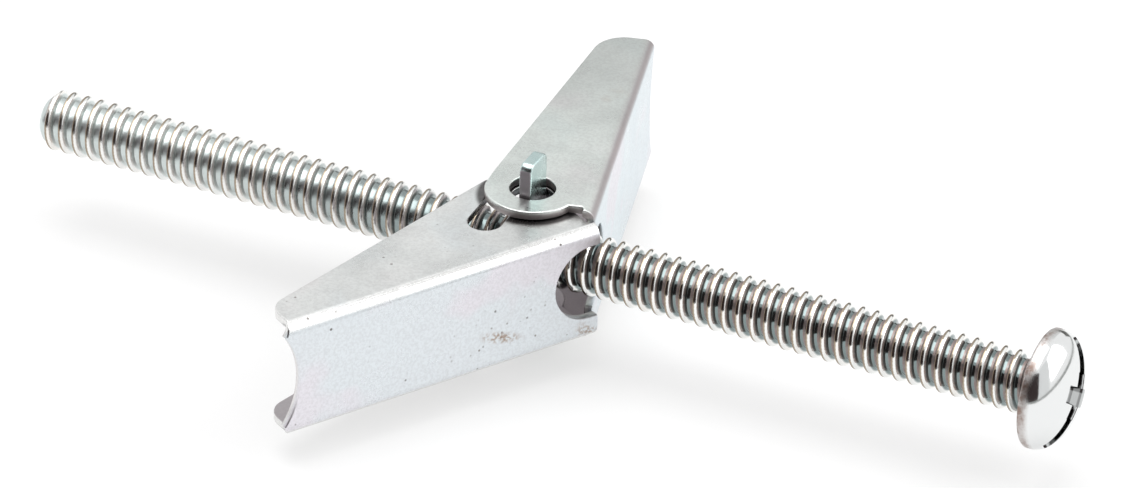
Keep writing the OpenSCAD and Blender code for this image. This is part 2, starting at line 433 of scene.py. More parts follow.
@dataclass(frozen=True)
class ThreadZinc(ZincFinish):
    """Screw plate: painted shade in grooves and recess, a painted dark rim, brown crests and dull
    flanks.

    Attributes:
        groove: Colour of the painted shade deep in the thread.
        tip_groove_shade: Paler colour of that painted shade towards the tip.
        clean_at: Distances along the screw between which the flanks turn clean.
        tip_groove_shade_at: Distances along the screw between which the painted groove shade
            turns paler.
        groove_r: Radii about the screw's axis between which the painted groove shade fades out.
        crest: Brown colour on the crests.
        crest_r: Radii about the screw's axis between which the crest's colour sets in.
        flank: Colour of the flanks that face the tip.
        flank_at: Shares of a pitch between which the flanks' colour sets in.
        crest_at: Distance along the screw of one crest.
        crest_turn: Where that crest lies round the axis, in degrees.
        pitch: The thread's pitch.
        neck: Distance along the screw at which the thread ends.
        head: Colour of the head.
        rim: Colour of the painted dark reflection along the head's rim, in blotches.
        dome: Distance along the screw to the dome's foot, its radius and its height.
        slot_turn: Turn of the slot from the horizontal, in degrees.
    """

    groove: Colour = (0.22, 0.27, 0.27)
    tip_groove_shade: Colour = (0.66, 0.72, 0.71)
    clean_at: tuple[float, float] = (2.0, -6.0)
    tip_groove_shade_at: tuple[float, float] = (-3.0, -27.0)
    groove_r: tuple[float, float] = (1.8, 1.97)
    crest: Colour = (0.3, 0.23, 0.15)
    crest_r: tuple[float, float] = (2.13, 2.146)
    flank: Colour = (0.36, 0.27, 0.25)
    flank_at: tuple[float, float] = (0.52, 0.6)
    crest_at: float = -36.85
    crest_turn: float = 56.0
    pitch: float = 1.0583
    neck: float = 38.0
    head: Colour = (0.79, 0.8, 0.8)
    rim: Colour = (0.3, 0.22, 0.19)
    dome: Triple = (38.6, 4.2, 2.3)
    slot_turn: float = 55.0

    def _zone(self, skin: Skin) -> None:
        """Tints the thread by its radius, with painted shade deep in the grooves, and by the
        place on its pitch.

        Args:
            skin: The surface.
        """
        sheet = skin.sheet
        x, y, z = sheet.split(skin.off)
        radius = sheet.length(y, z)
        thread = x.step(self.neck + 0.1, self.neck)
        deep = radius.step(self.groove_r[1], self.groove_r[0])
        clean = x.step(*self.clean_at)
        tip_groove_shade = x.step(*self.tip_groove_shade_at)
        # Painted shade deep in the thread, paler towards the tip.
        skin.tint(deep * thread, sheet.blend(tip_groove_shade, self.groove, self.tip_groove_shade))
        turn = z.math("ARCTAN2", z, y) / (2 * pi)
        along = (x - self.crest_at) / self.pitch - turn + self.crest_turn / 360
        place = (along + 100.0).fraction()
        speck = sheet.noise(skin.off, 4.5, 2.0).step(0.3, 0.62)
        flank = (place - clean * 0.16).step(*self.flank_at) * (0.5 - clean * 0.25 + speck * 0.4)
        skin.tint(flank * thread, self.flank)
        crest = radius.step(*self.crest_r)
        skin.tint(crest * thread * 0.85, self.crest)
        skin.rough = skin.rough + thread * (flank * 0.5 + clean * 0.12 + deep * tip_groove_shade * 0.1)
        self._dress_head(skin, radius)

    def _dress_head(self, skin: Skin, radius: Value) -> None:
        """Greys the head, paints a dark reflection on its rim and paints shade in its recess.

        Args:
            skin: The surface.
            radius: Distance from the screw's axis.
        """
        x, y, z = skin.sheet.split(skin.off)
        foot, wide, high = self.dome
        head = x.step(self.neck + 0.1, self.neck + 0.2)
        skin.tint(head, self.head)
        patch = skin.sheet.noise(skin.off, 0.9, 4.0, 0.7).step(0.42, 0.66)
        # Painted dark reflection along the head's rim, in blotches.
        rim = head * x.step(foot + 0.45, foot - 0.1) * radius.step(wide - 0.7, wide - 0.3)
        skin.tint(rim * (0.4 + patch * 0.6), self.rim)
        within = 1.0 - radius * radius * (1.0 / wide**2)
        sunk = foot + (within * within.step(0.0, 0.001)) ** 0.5 * high - x
        turn = radians(self.slot_turn)
        up = y * cos(turn) + z * sin(turn)
        side = z * cos(turn) - y * sin(turn)
        end = up.size().step(0.75, 0.95)
        bars = (side * 2.6).fraction().step(0.35, 0.2) * 0.4 + up.step(0.3, 0.42) * 0.45
        sunk = sunk - up.size().step(1.7, 2.0) * 0.55
        # Painted shade in the slot and cross of the recess, darkest at the slot's ends.
        recess = sunk.step(0.06, 0.2) * head * radius.step(wide - 0.1, wide - 0.3)
        shade = recess * (0.2 + bars * (1.0 - end) + end * 0.75)
        skin.tint(shade, PAINTED_SHADE_BLACK)
        skin.rough = skin.rough + rim * 0.3


@dataclass(frozen=True)
class NutZinc(ZincFinish):
    """Nut plate: dull ear edges with a painted reflection, and painted shade inside the toggle.

    Attributes:
        dull_edge_and_reflection: Colour of the ears' cut edges, with a painted mauve reflection.
        inside: Colour of the painted shade inside the toggle.
        ear: Half the width of an ear.
        depth: Distances from the hinge's middle, along it, between which the painted shade fades
            out.
    """

    dull_edge_and_reflection: Colour = (0.36, 0.31, 0.34)
    inside: Colour = (0.09, 0.09, 0.1)
    ear: float = 1.3
    depth: tuple[float, float] = (3.9, 4.5)

    def _zone(self, skin: Skin) -> None:
        """Dulls the ears' edges, paints a reflection on them and paints shade inside the toggle.

        Args:
            skin: The surface.
        """
        _, y, z = skin.sheet.split(skin.off)
        # The ears' cut edges: duller, with a painted mauve reflection.
        edge = y.size().step(self.ear - 0.06, self.ear - 0.02)
        skin.tint(edge * 0.9, self.dull_edge_and_reflection)
        # Painted shade on the nut's body, which lies inside the toggle.
        inside = z.size().step(self.depth[1], self.depth[0])
        skin.tint(inside * 0.9, self.inside)
        skin.rough = skin.rough + edge * 0.15


@dataclass(frozen=True)
class WingZinc(ZincFinish):
    """Plate on a folded wing: painted reflection on the web, polished bends, stains, painted
    shade and shadow.

    Attributes:
        web: Colour of the web's outer side, a painted reflection tint.
        bend_polish_and_shade: Colour of the bends; on the far wing it is a painted shade band.
        gloss: Share of the roughness that the bends lose.
        bend_at: Depths under the flange between which the bend's finish sets in and ends.
        smears: Brown stains on the web: places along and across it, lengths and heights.
        specks: Strength of the dark specks on the web towards the hinge.
        dim: How much painted shade darkens the wing towards its tip.
        inner: Colour of the painted shade on the inner side.
        lap_shadow: Colour of the painted shadow where another wing's edge lies on this one.
        half: Half the wing's width.
        reach: Distance from the hinge to the web's outer side.
        lean: Lean of the wing when open, in degrees.
        side: 1 for the wing towards +Y and -1 for the other.
        drop: How far the wing hangs below the hinge's middle.
        lap: Radius about the hinge at which another wing's edge lies on this one; 0 for none.
    """

    web: Colour = (0.71, 0.74, 0.77)
    bend_polish_and_shade: Colour = (0.8, 0.8, 0.79)
    gloss: float = 0.6
    bend_at: tuple[float, float, float, float] = (0.62, 0.4, 0.07, 0.02)
    smears: tuple[tuple[float, float, float, float], ...] = ()
    specks: float = 0.0
    dim: float = 0.0
    inner: Colour = (0.4, 0.36, 0.38)
    lap_shadow: Colour = PAINTED_SHADE_BLACK
    half: float = 4.2
    reach: float = 5.8
    lean: float = 31.0
    side: int = -1
    drop: float = 0.22
    lap: float = 0.0

    def _zone(self, skin: Skin) -> None:
        """Polishes the bends, paints shade on the inner side and paints a shadow where the wings
        lap.

        Args:
            skin: The surface.
        """
        sheet = skin.sheet
        x, y, z = sheet.split(skin.off)
        turn = radians(self.lean)
        out = x * cos(turn) + y * (self.side * sin(turn))
        along = y * (self.side * cos(turn)) - x * sin(turn)
        high = (z + self.drop).size()
        outer = out.step(self.reach - 0.5, self.reach - 0.1)
        # Painted shade that darkens the wing towards its tip.
        skin.tint(along.step(3.0, 18.0) * self.dim, TIP_SHADE_GREY)
        # Painted reflection tint on the web's outer side.
        skin.tint(outer * 0.8, self.web)
        pink = sheet.noise(skin.off, 0.16, 2.0).step(0.5, 0.62) * outer
        skin.tint(pink * 0.5, PINK)
        for centre, level, length, height in self.smears:
            run = (along - centre) / length
            rise = (z + self.drop - level - run * height * 1.1) / height
            smear = sheet.length(run, rise).step(1.0, 0.3) * outer
            smear = smear * sheet.noise(skin.off, 3.5, 3.0, 0.7).step(0.42, 0.6)
            skin.tint(smear * 0.85, SMEAR)
        if self.specks:
            distance = sheet.add("ShaderNodeTexVoronoi", {}, {"Vector": skin.off, "Scale": 1.5})
            where = sheet.noise(skin.off, 0.7, 2.0).step(0.38, 0.48) * along.step(12.0, 8.0)
            where = where * (z + self.drop).step(1.5, -2.0)
            speck = distance.step(0.16, 0.08) * where * outer
            skin.tint(speck * self.specks, SPECK)
        low, full, over, end = (self.half - depth for depth in self.bend_at)
        bend = high.step(low, full) * high.step(end, over)
        # Bend colour; on the far wing a painted shade band.
        skin.tint(bend * 0.85, self.bend_polish_and_shade)
        skin.rough = skin.rough - bend * (self.gloss * self.shine[0])
        # Painted shade on the inner side of the folded sheet.
        within = high.step(self.half - 0.57, self.half - 0.59)
        within = within * out.step(self.reach - 0.5, self.reach - 0.57)
        skin.tint(within * 0.85, self.inner)
        if self.lap:
            # Painted shadow under the edge of the other wing, where it laps on this one.
            ring = sheet.length(x, y)
            under = ring.step(self.lap + 0.75, self.lap + 0.35)
            under = under * high.step(self.half - 0.04, self.half - 0.01)
            skin.tint(under * 0.9, self.lap_shadow)


SCREW_FINISH = ThreadZinc(
    name="bright zinc on screw",
    colour=(0.94, 0.94, 0.92),
    cool=(0.84, 0.9, 0.9),
    warm=(0.92, 0.87, 0.8),
    tint=0.4,
    shine=(0.06, 0.15),
    cloud=0.5,
    grain=0.001,
)
# Cyan zinc plate, partly a painted reflection on the ears' broad faces.
NUT_FINISH = NutZinc(
    name="bright zinc on nut",
    colour=(0.56, 0.68, 0.67),
    cool=(0.5, 0.68, 0.68),
    warm=(0.6, 0.64, 0.62),
    tint=0.6,
    shine=(0.18, 0.32),
    cloud=0.5,
)
NEAR_WING_FINISH = WingZinc(
    name="satin zinc on near wing",
    colour=(0.82, 0.83, 0.82),
    cool=(0.76, 0.82, 0.85),
    warm=(0.82, 0.77, 0.77),
    tint=0.5,
    mottle=0.17,
    web=(0.74, 0.79, 0.83),
    shine=(0.26, 0.38),
    cloud=0.22,
    grain=0.003,
    pits=0.02,
    stain=0.3,
    smears=((6.2, -1.9, 2.2, 0.6), (-1.2, -4.1, 1.6, 1.1)),
    specks=0.8,
    half=4.42,
    reach=5.8,
    lean=31.0,
    side=-1,
    lap=3.3,
)
FAR_WING_FINISH = WingZinc(
    name="satin zinc on far wing",
    colour=(0.8, 0.84, 0.81),
    cool=(0.74, 0.82, 0.8),
    warm=(0.8, 0.76, 0.77),
    tint=0.5,
    mottle=0.17,
    web=(0.75, 0.83, 0.88),
    dim=0.32,
    # A painted shade band in the far wing's bend.
    bend_polish_and_shade=(0.36, 0.31, 0.31),
    gloss=-0.6,
    bend_at=(0.95, 0.46, 0.34, -0.02),
    shine=(0.26, 0.38),
    cloud=0.22,
    grain=0.003,
    stain=0.2,
    half=5.1,
    reach=4.75,
    lean=15.5,
    side=1,
)
SPRING_FINISH = ZincFinish(
    name="drawn spring wire",
    colour=(0.42, 0.42, 0.43),
    cool=(0.36, 0.38, 0.42),
    warm=(0.45, 0.4, 0.34),
    tint=0.5,
    shine=(0.25, 0.4),
    cloud=0.8,
)


# ---- Drawing ----


@dataclass(frozen=True)
class HingePlace:
    """Where the hinge lies in the shared frame.

    Attributes:
        point: The middle of the hinge, in metres.
    """

    point: Vector

    @classmethod
    def of_nut(cls, plate: float) -> "HingePlace":
        """Finds the hinge from the nut's box.

        Args:
            plate: Thickness of the nut's plate, in millimetres.

        Returns:
            The place of the hinge.
        """
        low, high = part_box("trunnion_nut")
        middle = (low + high) / 2
        return cls(Vector((high.x - plate / 2 * MM, middle.y, middle.z)))

    def matrix(self) -> Matrix:
        """Takes millimetres about the hinge to metres in the frame."""
        return Matrix.Translation(self.point) @ Matrix.Scale(MM, 4)


def everything(bm: bmesh.types.BMesh) -> list[object]:
    """All vertices, edges and faces of a mesh."""
    return [*bm.verts, *bm.edges, *bm.faces]


def verts_of(geom: Iterable[object]) -> list[bmesh.types.BMVert]:
    """The vertices in what an operator has made."""
    return [g for g in geom if isinstance(g, bmesh.types.BMVert)]


def edges_of(geom: Iterable[object]) -> list[bmesh.types.BMEdge]:
    """The edges in what an operator has made."""
    return [g for g in geom if isinstance(g, bmesh.types.BMEdge)]


def edges_at(verts: Iterable[bmesh.types.BMVert]) -> list[bmesh.types.BMEdge]:
    """The edges that meet at some vertices."""
    return list({e for v in verts for e in v.link_edges})


def line(bm: bmesh.types.BMesh, points: list[Point], closed: bool = False) -> list[object]:
    """Draws an open or closed line in the XY plane.

    Args:
        bm: The mesh to draw in.
        points: Its corners.
        closed: Whether its end meets its start.

    Returns:
        Its vertices and edges.
    """
    verts = [bm.verts.new((*point, 0.0)) for point in points]
    edges = [bm.edges.new(pair) for pair in zip(verts, verts[1:])]
    if closed:
        edges.append(bm.edges.new((verts[-1], verts[0])))
    return verts + edges


def spin(
    bm: bmesh.types.BMesh,
    geom: list[object],
    steps: int,
    angle: float = 2 * pi,
    axis: Triple = (1.0, 0.0, 0.0),
    climb: float = 0.0,
    merge: bool = False,
) -> list[object]:
    """Turns vertices and edges about the origin.

    Args:
        bm: The mesh that holds them.
        geom: What to turn.
        steps: Faces along the turn.
        angle: The turn in radians.
        axis: What it turns about.
        climb: Distance along the axis that one step gains.
        merge: Whether the end is joined to the start.

    Returns:
        What lies at the end of the turn.
    """
    made = bmesh.ops.spin(
        bm,
        geom=geom,
        cent=ORIGIN,
        axis=axis,
        dvec=[climb * part for part in axis],
        angle=angle,
        space=Matrix.Identity(4),
        steps=steps,
        use_merge=merge,
    )
    return made["geom_last"]


def mesh_object(name: str, bm: bmesh.types.BMesh) -> bpy.types.Object:
    """Makes an object of a mesh and frees the mesh.

    Args:
        name: The object's name.
        bm: The mesh.

    Returns:
        The object, linked to the scene.
    """
    mesh = bpy.data.meshes.new(name)
    bm.to_mesh(mesh)
    bm.free()
    made = bpy.data.objects.new(name, mesh)
    bpy.context.scene.collection.objects.link(made)
    return made


class Outline:
    """A flat closed line in the XY plane, drawn with extrudes and spins of one vertex."""

    def __init__(self, bm: bmesh.types.BMesh, start: Point) -> None:
        """Sets the pen down.

        Args:
            bm: The mesh to draw in.
            start: The first point.
        """
        self.bm = bm
        self.first = bm.verts.new((*start, 0.0))
        self.last = self.first
        self.verts = [self.first]
        self.fillets: dict[bmesh.types.BMVert, float] = {}

    def _extend(self) -> None:
        """Draws the next vertex on the spot."""
        self.last = bmesh.ops.extrude_vert_indiv(self.bm, verts=[self.last])["verts"][0]
        self.verts.append(self.last)

    def line_to(self, x: float, y: float, fillet: float = 0.0) -> "Outline":
        """Draws a straight line.

        Args:
            x: Where it ends.
            y: Where it ends.
            fillet: Distance over which the corner at its end is rounded.

        Returns:
            This outline.
        """
        self._extend()
        self.last.co = (x, y, 0.0)
        if fillet:
            self.fillets[self.last] = fillet
        return self

    def arc(self, centre: Point, turn: float, steps: int = 16) -> "Outline":
        """Draws an arc.

        Args:
            centre: The arc's centre.
            turn: Its turn in degrees, anticlockwise if positive.
            steps: How many edges it gets.

        Returns:
            This outline.
        """
        axis = (0.0, 0.0, 1.0 if turn > 0 else -1.0)
        for _ in range(steps):
            self._extend()
            bmesh.ops.rotate(
                self.bm,
                verts=[self.last],
                cent=(*centre, 0.0),
                matrix=Matrix.Rotation(radians(abs(turn)) / steps, 3, axis),
            )
        return self

    def close(self) -> list[bmesh.types.BMEdge]:
        """Joins the end to the start and rounds the corners.

        Returns:
            The outline's edges.
        """
        if (self.last.co - self.first.co).length < 1e-6:
            bmesh.ops.pointmerge(self.bm, verts=[self.last, self.first], merge_co=self.first.co)
            self.verts = [v for v in self.verts if v.is_valid]
        else:
            self.bm.edges.new((self.last, self.first))
        face = self.bm.faces.new(self.verts)
        for vert, size in self.fillets.items():
            made = bmesh.ops.bevel(
                self.bm,
                geom=[vert],
                offset=size,
                offset_type="OFFSET",
                affect="VERTICES",
                segments=6,
                profile=0.5,
                material=-1,
            )
            face = next((f for v in made["verts"] for f in v.link_faces), face)
        edges = list(face.edges)
        bmesh.ops.delete(self.bm, geom=[face], context="FACES_ONLY")
        return [e for e in edges if e.is_valid]


class Piece:
    """One finished object of the toggle bolt."""

    def __init__(self, name: str) -> None:
        """Starts an empty piece.

        Args:
            name: The piece's name.
        """
        self.name = name
        self.bm = bmesh.new()

    def soften(self, edges: list[bmesh.types.BMEdge], width: float, segments: int = 3) -> None:
        """Rounds edges.

        Args:
            edges: The edges to round.
            width: How far the rounding reaches, in millimetres.
            segments: How many faces it gets.
        """
        bmesh.ops.bevel(
            self.bm,
            geom=edges,
            offset=width,
            offset_type="OFFSET",
            affect="EDGES",
            segments=segments,
            profile=0.5,
            material=-1,
            loop_slide=False,
            clamp_overlap=False,
        )

    def fill(self, edges: list[bmesh.types.BMEdge]) -> None:
        """Fills outlines in the XY plane, leaving their holes open.

        Args:
            edges: The edges of all outlines.
        """
        bmesh.ops.triangle_fill(self.bm, use_beauty=True, edges=edges)

    def thicken(self, depth: float) -> None:
        """Gives a flat sheet its thickness, downwards.

        Args:
            depth: The thickness.
        """
        bm = self.bm
        made = bmesh.ops.extrude_face_region(bm, geom=list(bm.faces), use_keep_orig=True)
        bmesh.ops.translate(bm, verts=verts_of(made["geom"]), vec=(0.0, 0.0, -depth))
        bmesh.ops.recalc_face_normals(bm, faces=bm.faces)

    def rims(self, level: float) -> list[bmesh.types.BMEdge]:
        """The sharp edges of a sheet at one level.

        Args:
            level: Their Z.

        Returns:
            The edges.
        """
        return [
            e
            for e in self.bm.edges
            if all(abs(v.co.z - level) < 1e-5 for v in e.verts)
            and len(e.link_faces) == 2
            and e.calc_face_angle() > 1.0
        ]

    def finish(
        self,
        place: HingePlace,
        look: ZincFinish,
        body: str,
        node: str,
        crease: float,
        bend: tuple[str, Vector, Vector] | None = None,
    ) -> bpy.types.Object:
        """Sets the piece in its place, dresses it and, unless bend is given, ties it to its body.

        Args:
            place: Where the hinge lies.
            look: The piece's finish.
            body: The body that it moves with.
            node: The node that it stands for.
            crease: Angle in degrees above which an edge is sharp.
            bend: A second body and where a bend would set in and be full; these are not used, and
                if bend is given the piece is not tied to its body.

        Returns:
            The finished object.
        """
        bmesh.ops.transform(self.bm, matrix=place.matrix(), verts=self.bm.verts)
        for face in self.bm.faces:
            face.smooth = True
        piece = mesh_object(self.name, self.bm)
        mesh = piece.data
        mesh.set_sharp_from_angle(angle=radians(crease))
        mesh.materials.append(look.material(place))
        weighted = piece.modifiers.new("even flats", "WEIGHTED_NORMAL")
        weighted.keep_sharp = True
        if bend:
            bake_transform(piece)
        else:
            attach(piece, body)
        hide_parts(node)
        log.info("%s: %d faces", self.name, len(mesh.polygons))
        return piece


# ---- Screw ----


@dataclass
class MachineScrew:
    """Round-headed machine screw with a right-hand thread; sizes in millimetres."""

    tip: float = -37.35
    seat: float = 38.15
    thread_r: float = 2.15
    root_r: float = 1.65
    pitch: float = 1.0583
    crest_at: float = -36.85
    crest_turn: float = 56.0
    half_crest: float = 0.03
    flank: float = 70.0
    root_round: float = 0.1
    crest_rounds: tuple[float, float] = (0.24, 0.06)
    steps: int = 48
    first_turns: int = 5
    doublings: int = 4
    point_r: float = 1.35
    point_length: float = 0.75
    point_least: float = 0.3
    point_edge: float = 0.35
    point_bulge: float = 0.1
    runout: tuple[float, float] = (36.9, 37.8)
    head_r: float = 4.2
    rim: float = 0.45
    dome: float = 2.3
    slot: tuple[float, float] = (1.0, 1.5)
    cross: Triple = (1.35, 3.7, 1.5)
    slot_turn: float = 35.0

    def build(self, place: HingePlace) -> bpy.types.Object:
        """Makes the screw.

        Args:
            place: Where the hinge lies.

        Returns:
            The finished object.
        """
        piece = Piece("plated_screw")
        self._thread(piece.bm)
        self._shape_ends(piece.bm)
        neck = self._cut_ends(piece.bm)
        self._head(piece.bm, neck)
        bmesh.ops.recalc_face_normals(piece.bm, faces=piece.bm.faces)
        return piece.finish(place, SCREW_FINISH, "screw", "screw", 42.0)

    @property
    def neck_start(self) -> float:
        """Distance along the screw at which the neck's mesh starts."""
        return self.runout[1] + 0.1

    def _ridge(self) -> list[Point]:
        """Section of one pitch, from crest to crest: distance along the screw and radius."""
        before, after = (self._flank(crest_round) for crest_round in self.crest_rounds)
        return [(-x, r) for x, r in reversed(before)] + [(0.0, self.root_r)] + after

    def _flank(self, crest_round: float) -> list[Point]:
        """Section of half a pitch: distance from the groove's middle and radius.

        Args:
            crest_round: Radius of the edge of the crest.

        Returns:
            The points from the groove to the crest.
        """
        slope = radians(self.flank)
        rounds = self.root_round + crest_round
        rise = self.thread_r - self.root_r - rounds * (1 - cos(slope))
        flat = self.pitch / 2 - self.half_crest - rounds * sin(slope) - rise / tan(slope)
        foot = self.root_r + self.root_round
        root = [
            (flat + self.root_round * sin(turn), foot - self.root_round * cos(turn))
            for turn in (slope * k / 4 for k in range(5))
        ]
        neck = self.thread_r - crest_round
        steps = 5 if crest_round > 0.1 else 3
        edge = self.pitch / 2 - self.half_crest
        crest = [
            (edge - crest_round * sin(turn), neck + crest_round * cos(turn))
            for turn in (slope * k / steps for k in range(steps, -1, -1))
        ]
        return root + crest + [(self.pitch / 2, self.thread_r)]

    def _thread(self, bm: bmesh.types.BMesh) -> None:
        """Spins the section of a pitch into the whole helix.

        Args:
            bm: The mesh to draw in.
        """
        start = self.crest_at - (self.crest_turn / 360 + 2.5) * self.pitch
        ridge = line(bm, [(start + x, r) for x, r in self._ridge()])
        spin(
            bm,
            ridge,
            self.first_turns * self.steps,
            angle=2 * pi * self.first_turns,
            climb=self.pitch / self.steps,
        )
        for k in range(self.doublings):
            made = bmesh.ops.duplicate(bm, geom=everything(bm))["geom"]
            step = self.pitch * self.first_turns * 2**k
            bmesh.ops.translate(bm, verts=verts_of(made), vec=(step, 0.0, 0.0))
        bmesh.ops.remove_doubles(bm, verts=bm.verts, dist=1e-3)

    def _shape_ends(self, bm: bmesh.types.BMesh) -> None:
        """Lowers the ridges towards the tip and the neck.

        Args:
            bm: The mesh of the thread.
        """
        low, high = self.runout
        for vert in bm.verts:
            x, r = vert.co.x, hypot(vert.co.y, vert.co.z)
            rise = (self.thread_r - self.point_r) * (x - self.tip) / self.point_length
            out = self.thread_r - (self.thread_r - self.root_r) * (x - low) / (high - low)
            limit = min(max(self.point_r + rise, self.point_least), max(out, self.root_r))
            if r > limit:
                vert.co.y *= limit / r
                vert.co.z *= limit / r

    def _cut_ends(self, bm: bmesh.types.BMesh) -> list[bmesh.types.BMEdge]:
        """Cuts the thread square at both ends and closes the tip.

        Args:
            bm: The mesh of the thread.

        Returns:
            The open edges at the neck.
        """
        for x, side in ((self.tip, -1.0), (self.runout[1], 1.0)):
            bmesh.ops.bisect_plane(
                bm,
                geom=everything(bm),
                dist=1e-5,
                plane_co=(x, 0.0, 0.0),
                plane_no=(side, 0.0, 0.0),
                clear_outer=True,
            )
        bmesh.ops.remove_doubles(bm, verts=bm.verts, dist=1e-4)
        edges = [e for e in bm.edges if e.is_boundary]
        tip = [e for e in edges if e.verts[0].co.x < 0]
        cap = bmesh.ops.edgeloop_fill(bm, edges=tip)["faces"]
        for bulge in (0.0, self.point_bulge):
            bmesh.ops.inset_region(bm, faces=cap, thickness=self.point_edge, depth=bulge)
        return [e for e in edges if e.verts[0].co.x > 0]

    def _head_section(self) -> list[Point]:
        """Section of the neck and head: distance along the screw and radius."""
        base = self.seat
        dome = [
            (base + self.rim + self.dome * sin(turn), self.head_r * cos(turn))
            for turn in (pi / 2 * k / 20 for k in range(20))
        ]
        return [
            (self.neck_start, self.root_r),
            (base - 0.16, self.root_r),
            (base - 0.07, self.root_r + 0.03),
            (base - 0.02, self.root_r + 0.1),
            (base, self.root_r + 0.2),
            (base, self.head_r - 0.18),
            (base + 0.03, self.head_r - 0.07),
            (base + 0.11, self.head_r - 0.01),
            (base + 0.2, self.head_r),
            *dome,
            (base + self.rim + self.dome, 0.0),
        ]

    def _head(self, bm: bmesh.types.BMesh, neck: list[bmesh.types.BMEdge]) -> None:
        """Turns the head, cuts its recess and joins it to the thread.

        Args:
            bm: The mesh of the thread.
            neck: The open edges of the thread at the neck.
        """
        part = bmesh.new()
        spin(part, line(part, self._head_section()), 128, merge=True)
        bmesh.ops.remove_doubles(part, verts=part.verts, dist=1e-5)
        bmesh.ops.holes_fill(part, edges=[e for e in part.edges if e.is_boundary])
        bmesh.ops.recalc_face_normals(part, faces=part.faces)
        cut = self._cut_recess(part)
        start = self.neck_start
        lid = [f for f in cut.faces if all(abs(v.co.x - start) < 1e-4 for v in f.verts)]
        bmesh.ops.delete(cut, geom=lid, context="FACES_ONLY")
        mesh = bpy.data.meshes.new("head")
        cut.to_mesh(mesh)
        cut.free()
        known = set(bm.verts)
        bm.from_mesh(mesh)
        bpy.data.meshes.remove(mesh)
        rim = [e for e in bm.edges if e.is_boundary and e.verts[0] not in known]
        bmesh.ops.bridge_loops(bm, edges=[e for e in neck if e.is_valid] + rim)

    def _cut_recess(self, part: bmesh.types.BMesh) -> bmesh.types.BMesh:
        """Cuts the slot and the cross out of the head.

        Args:
            part: The closed head; it is freed.

        Returns:
            The head with its recess.
        """
        head = mesh_object("head blank", part)
        cutters = [mesh_object(f"recess cutter {i}", bm) for i, bm in enumerate(self._cutters())]
        for cutter in cutters:
            boolean = head.modifiers.new("recess", "BOOLEAN")
            boolean.operation = "DIFFERENCE"
            boolean.solver = "EXACT"
            boolean.object = cutter
        cut = bmesh.new()
        cut.from_object(head, bpy.context.evaluated_depsgraph_get())
        for spare in [head, *cutters]:
            mesh = spare.data
            bpy.data.objects.remove(spare)
            bpy.data.meshes.remove(mesh)
        bmesh.ops.remove_doubles(cut, verts=cut.verts, dist=1e-4)
        return cut

    def _cutters(self) -> list[bmesh.types.BMesh]:
        """Blocks of the slot and of both arms of the cross."""
        crown = self.seat + self.rim + self.dome
        blocks = []
        width, depth = self.slot
        arm, length, deep = self.cross
        turn = radians(90 - self.slot_turn)
        for wide, long, sunk, narrow, extra in (
            (width, 2.4 * self.head_r, depth, 1.0, 0.0),
            (arm, length, deep, 0.38, 0.0),
            (arm, length, deep, 0.38, pi / 2),
        ):
            bm = bmesh.new()
            bmesh.ops.create_cube(bm, size=1.0)
            for vert in bm.verts:
                inside = vert.co.x < 0
                share = narrow if inside else 1.0
                tapered = inside and narrow < 1.0
                vert.co.x = crown - sunk if inside else crown + 0.1
                vert.co.y *= long * share
                vert.co.z *= wide * (0.55 if tapered else 1.0)
            about = Matrix.Rotation(turn + extra, 3, "X")
            bmesh.ops.rotate(bm, verts=bm.verts, cent=ORIGIN, matrix=about)
            blocks.append(bm)
        return blocks


# ---- Wings ----


